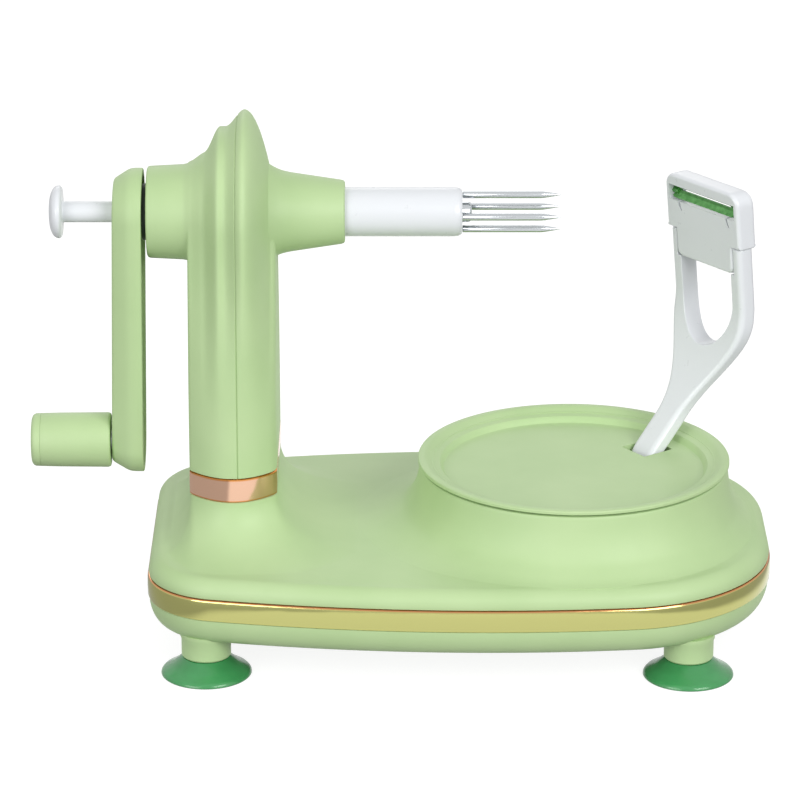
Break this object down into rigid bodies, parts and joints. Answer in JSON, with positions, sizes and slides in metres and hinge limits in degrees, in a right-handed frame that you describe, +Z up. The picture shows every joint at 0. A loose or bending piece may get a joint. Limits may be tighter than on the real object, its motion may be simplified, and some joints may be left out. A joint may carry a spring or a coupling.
{
  "type": "apple peeler",
  "caption": "Hand-cranked apple peeler: an arched column with crank, push rod and pronged fork, and a geared turntable whose forked arm swings a swivel blade round the fruit.",
  "frame": {"origin": "on the table, under the middle of the overall length and depth", "axes": "+Z up from the table, +X from the crank towards the turntable, -Y towards the user side shown in the picture"},
  "size_m": [0.2694, 0.1498, 0.1941],
  "materials": {
    "mint_plastic": "mint-green moulded plastic, fine matt texture",
    "gold_trim": "pale gold metallised plastic, satin",
    "white_plastic": "white moulded plastic, semi-gloss",
    "steel": "polished stainless steel",
    "dark_steel": "blackened steel",
    "natural_acetal": "natural acetal, matt",
    "cup_vinyl": "translucent teal soft vinyl, glossy"
  },
  "bodies": {
    "base": {"base_bottom_plate": "mint_plastic", "base_trim_band": "gold_trim", "base_upper_shell": "mint_plastic", "base_screws": "steel", "suction_cups": "cup_vinyl", "column_crank_shell": "mint_plastic", "column_fork_shell": "mint_plastic", "column_ring": "gold_trim", "column_screws": "steel", "shaft_bearing": "natural_acetal", "gear_axles": "steel", "axle_clips": "steel"},
    "crank": {"crank_arm": "mint_plastic", "grip_pin": "steel", "main_spindle": "dark_steel", "spindle_bevel": "natural_acetal", "fork_tube": "white_plastic", "prong_plate": "steel", "prongs": "steel", "push_spring": "steel"},
    "grip": {"crank_grip": "mint_plastic", "grip_cap": "mint_plastic"},
    "rod": {"push_rod": "white_plastic", "push_knob": "white_plastic", "push_tip": "steel"},
    "shaft": {"drive_shaft": "steel", "shaft_bevel": "natural_acetal", "shaft_pinion": "natural_acetal"},
    "idler": {"idler_gear": "natural_acetal"},
    "reduction": {"reduction_gear": "natural_acetal"},
    "turntable": {"turntable_disc": "mint_plastic", "turntable_gear": "natural_acetal", "turntable_bolt": "steel", "turntable_washer": "steel", "arm_pivot_pin": "steel", "arm_spring": "steel"},
    "arm": {"peeler_arm": "white_plastic", "blade_holder": "white_plastic"},
    "blade": {"blade": "steel"}
  },
  "joints": [
    {"name": "crank_turn", "type": "hinge", "parent": "base", "child": "crank", "pos_m": [-0.07585, 0, 0.1575], "axis": [1, 0, 0], "range_deg": [-816, 2304]},
    {"name": "grip_spin", "type": "hinge", "parent": "crank", "child": "grip", "pos_m": [-0.11835, 0, 0.0705], "axis": [1, 0, 0], "continuous": true},
    {"name": "rod_push", "type": "slide", "parent": "crank", "child": "rod", "axis": [1, 0, 0], "range_m": [0, 0.018], "stiffness_N_per_m": 150, "deforming": ["push_spring"]},
    {"name": "shaft_turn", "type": "hinge", "parent": "base", "child": "shaft", "pos_m": [-0.0581, 0, 0.08], "axis": [0, 0, 1], "range_deg": [-2304, 816]},
    {"name": "idler_turn", "type": "hinge", "parent": "base", "child": "idler", "pos_m": [-0.03497, 0, 0.022], "axis": [0, 0, 1], "range_deg": [-391.68, 1105.92]},
    {"name": "reduction_turn", "type": "hinge", "parent": "base", "child": "reduction", "pos_m": [0.01065, 0, 0.024], "axis": [0, 0, 1], "range_deg": [-576, 204]},
    {"name": "turntable_turn", "type": "hinge", "parent": "base", "child": "turntable", "pos_m": [0.06315, 0, 0.06], "axis": [0, 0, 1], "range_deg": [-34, 96]},
    {"name": "arm_tilt", "type": "hinge", "parent": "turntable", "child": "arm", "pos_m": [0.08711, 0.01805, 0.0515], "axis": [-0.6018, 0.7986, 0], "range_deg": [-10, 0], "stiffness_Nm_per_rad": 0.3, "springref_deg": -11.46},
    {"name": "blade_swivel", "type": "hinge", "parent": "arm", "child": "blade", "pos_m": [0.11212, 0.0369, 0.1502], "axis": [-0.6018, 0.7986, 0], "range_deg": [-20, 20]}
  ],
  "couplings": [
    {"joint": "shaft_turn", "follows": "crank_turn", "ratio": -1},
    {"joint": "idler_turn", "follows": "crank_turn", "ratio": 0.48},
    {"joint": "reduction_turn", "follows": "crank_turn", "ratio": -0.25},
    {"joint": "turntable_turn", "follows": "crank_turn", "ratio": 0.041667}
  ]
}
